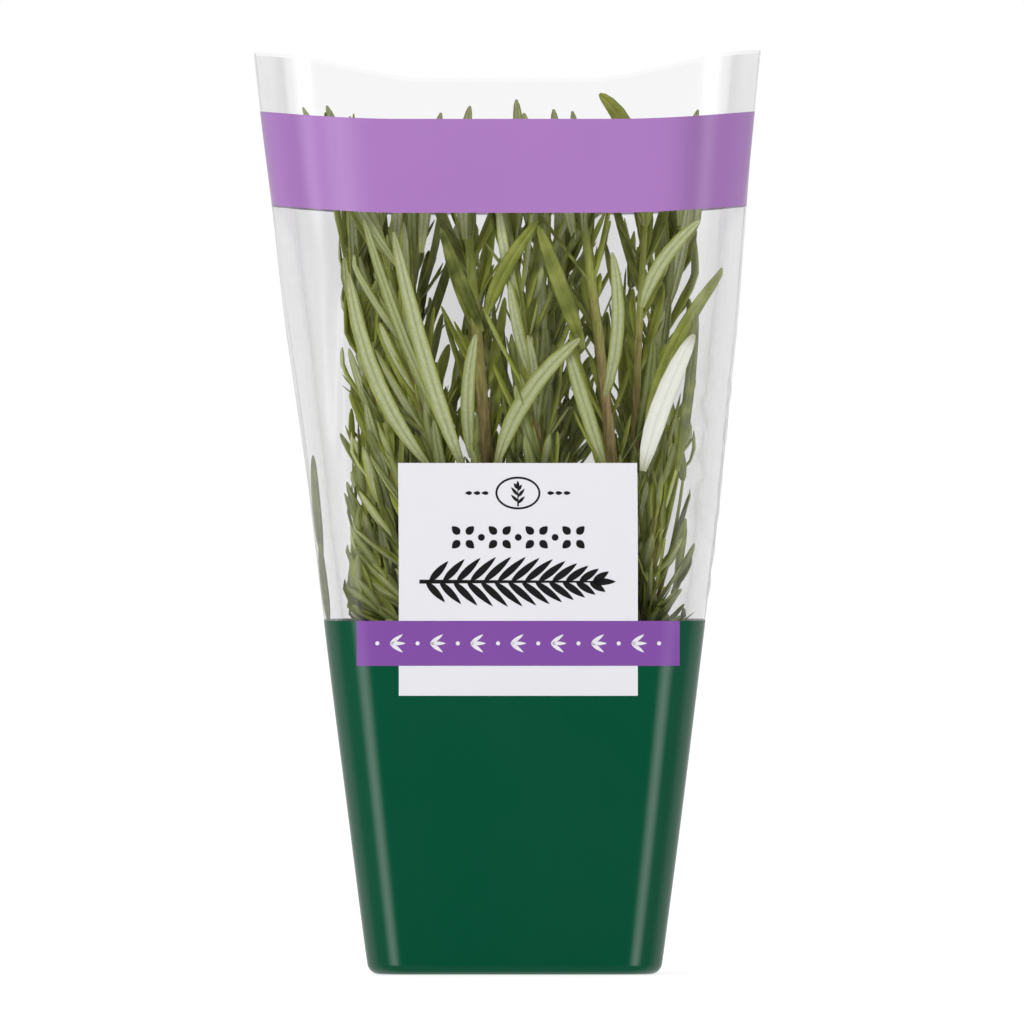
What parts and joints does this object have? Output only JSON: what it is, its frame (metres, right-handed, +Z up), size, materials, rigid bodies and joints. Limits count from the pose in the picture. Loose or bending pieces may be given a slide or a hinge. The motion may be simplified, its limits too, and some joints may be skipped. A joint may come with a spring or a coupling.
{
  "type": "potted rosemary plant",
  "caption": "Rosemary plant in a square nursery pot, inside a tapered printed clear film sleeve that is open at the top.",
  "frame": {"origin": "middle of the base, on the surface that the pot stands on", "axes": "+Z up out of the pot; the printed front of the sleeve faces -Y; +X is to the right seen from the front"},
  "size_m": [0.1486, 0.148, 0.271],
  "materials": {
    "clear_film": "clear glossy packaging film",
    "lilac_print": "lilac ink on glossy film",
    "green_print": "dark green ink on glossy film",
    "white_print": "opaque white ink on glossy film",
    "purple_print": "purple ink on glossy film",
    "dark_ink": "near-black ink on glossy film",
    "pot_plastic": "thin recycled plastic, slightly glossy",
    "compost": "damp loose fibre compost",
    "stem_bark": "young bark, brown below and green above",
    "leaf": "leathery evergreen needle, darker above and pale below"
  },
  "bodies": {
    "root": {"sleeve_front": "clear_film", "sleeve_back": "clear_film", "nursery_pot": "pot_plastic", "compost": "compost", "stem_01": "stem_bark", "stem_02": "stem_bark", "stem_03": "stem_bark", "stem_04": "stem_bark", "stem_05": "stem_bark", "stem_06": "stem_bark", "stem_07": "stem_bark", "stem_08": "stem_bark", "stem_09": "stem_bark", "stem_10": "stem_bark", "stem_11": "stem_bark", "leaves_01": "leaf", "leaves_02": "leaf", "leaves_03": "leaf", "leaves_04": "leaf", "leaves_05": "leaf", "leaves_06": "leaf", "leaves_07": "leaf", "leaves_08": "leaf", "leaves_09": "leaf", "leaves_10": "leaf", "leaves_11": "leaf"}
  },
  "joints": []
}
